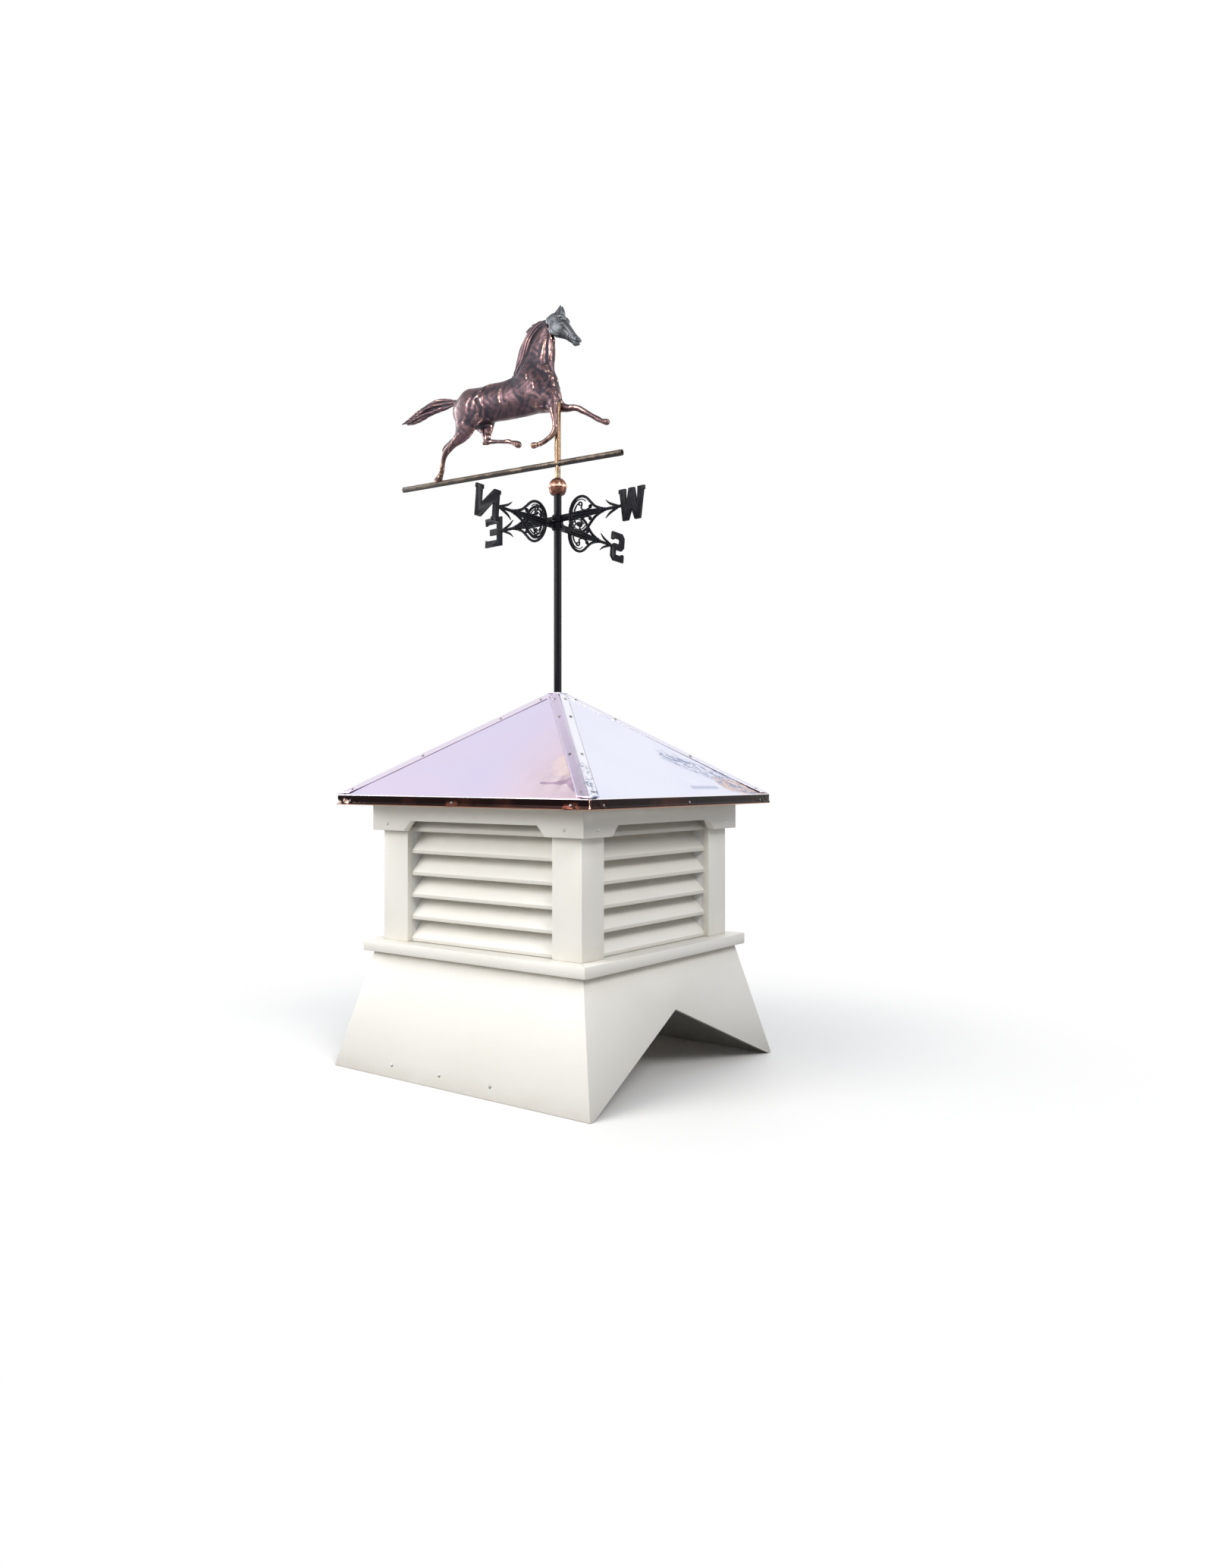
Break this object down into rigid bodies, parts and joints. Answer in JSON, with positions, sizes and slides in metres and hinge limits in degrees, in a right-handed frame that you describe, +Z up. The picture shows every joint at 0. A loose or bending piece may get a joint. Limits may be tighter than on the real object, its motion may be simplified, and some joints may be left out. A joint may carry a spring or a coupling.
{
  "type": "barn cupola with running horse weathervane",
  "caption": "Louvered square cupola with a flared base that straddles a roof ridge, a copper hip roof and a turning horse weathervane.",
  "frame": {"origin": "middle of the foot, level with the lower edges of the front and back base boards", "axes": "+Z up along the pole, X along the house ridge that the base straddles, front towards -Y"},
  "size_m": [0.8828, 0.762, 1.8494],
  "materials": {
    "white_board": "satin white cellular board, aged a little cream",
    "bright_copper": "bright mill copper sheet, mirror-like with slight ripples",
    "sheathing_wood": "plain sheathing board",
    "black_pole": "gloss black",
    "black_casting": "satin black paint on a rough casting",
    "aged_copper": "antique brown copper, brighter on the high places",
    "aged_brass": "dull grey-brown brass",
    "grey_casting": "dark grey cast metal, satin",
    "bright_steel": "plain bright rod"
  },
  "bodies": {
    "cupola": {"base_panel_front": "white_board", "sill_front": "white_board", "louvers_front": "white_board", "frieze_front": "white_board", "roof_deck_front": "sheathing_wood", "roof_panel_front": "bright_copper", "base_panel_right": "white_board", "sill_right": "white_board", "louvers_right": "white_board", "frieze_right": "white_board", "roof_deck_right": "sheathing_wood", "roof_panel_right": "bright_copper", "base_panel_back": "white_board", "sill_back": "white_board", "louvers_back": "white_board", "frieze_back": "white_board", "roof_deck_back": "sheathing_wood", "roof_panel_back": "bright_copper", "base_panel_left": "white_board", "sill_left": "white_board", "louvers_left": "white_board", "frieze_left": "white_board", "roof_deck_left": "sheathing_wood", "roof_panel_left": "bright_copper", "post_front_right": "white_board", "hip_cap_front_right": "bright_copper", "post_back_right": "white_board", "hip_cap_back_right": "bright_copper", "post_back_left": "white_board", "hip_cap_back_left": "bright_copper", "post_front_left": "white_board", "hip_cap_front_left": "bright_copper", "soffit": "white_board", "pole_block": "sheathing_wood", "apex_cap": "bright_copper", "pole": "black_pole", "ball": "aged_copper", "spindle": "bright_steel", "directional_north_south": "black_casting", "directional_east_west": "black_casting"},
    "vane": {"vane_tube": "aged_copper", "vane_bar": "aged_brass", "horse_body": "aged_copper", "horse_head": "grey_casting", "horse_tail": "aged_copper"}
  },
  "joints": [
    {"name": "vane_spin", "type": "hinge", "parent": "cupola", "child": "vane", "pos_m": [0, 0, 1.461], "axis": [0, 0, 1], "continuous": true}
  ]
}
